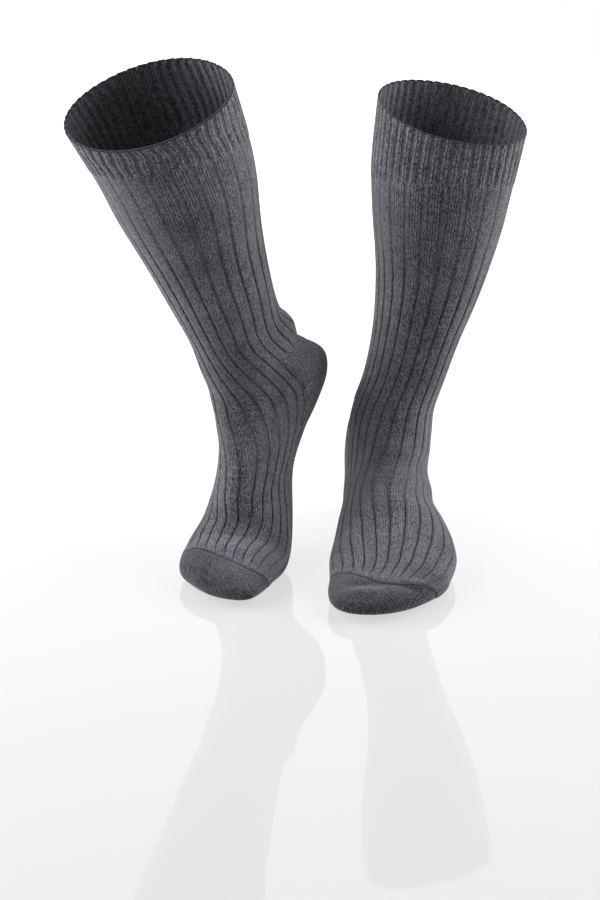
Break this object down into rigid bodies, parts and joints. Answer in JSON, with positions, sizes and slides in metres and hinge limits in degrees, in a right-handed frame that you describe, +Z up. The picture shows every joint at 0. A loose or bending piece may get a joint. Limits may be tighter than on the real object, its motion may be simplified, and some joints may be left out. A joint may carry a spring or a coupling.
{
  "type": "pair of socks",
  "caption": "Pair of long ribbed socks in the shape of being worn, hollow and open at finely ribbed cuffs, with plain turned heels and plain toe caps.",
  "frame": {"origin": "centre of the left sock's rim, in the middle of its open cuff, where the leg in it holds it up", "axes": "+Z up, -Y the way the toes point, +X to the left sock's outer side (the right of a viewer who faces the toes)"},
  "size_m": [0.3184, 0.2653, 0.3598],
  "materials": {
    "cuff_knit": "matte brushed wool-like knit, narrow ribs",
    "ribbed_knit": "matte brushed wool-like knit, wide flat ribs",
    "plain_knit": "matte brushed wool-like knit, plain"
  },
  "bodies": {
    "root": {"left_cuff": "cuff_knit", "left_leg": "ribbed_knit", "left_heel": "plain_knit", "left_foot": "ribbed_knit", "left_toe": "plain_knit", "right_cuff": "cuff_knit", "right_leg": "ribbed_knit", "right_heel": "plain_knit", "right_foot": "ribbed_knit", "right_toe": "plain_knit"}
  },
  "joints": []
}
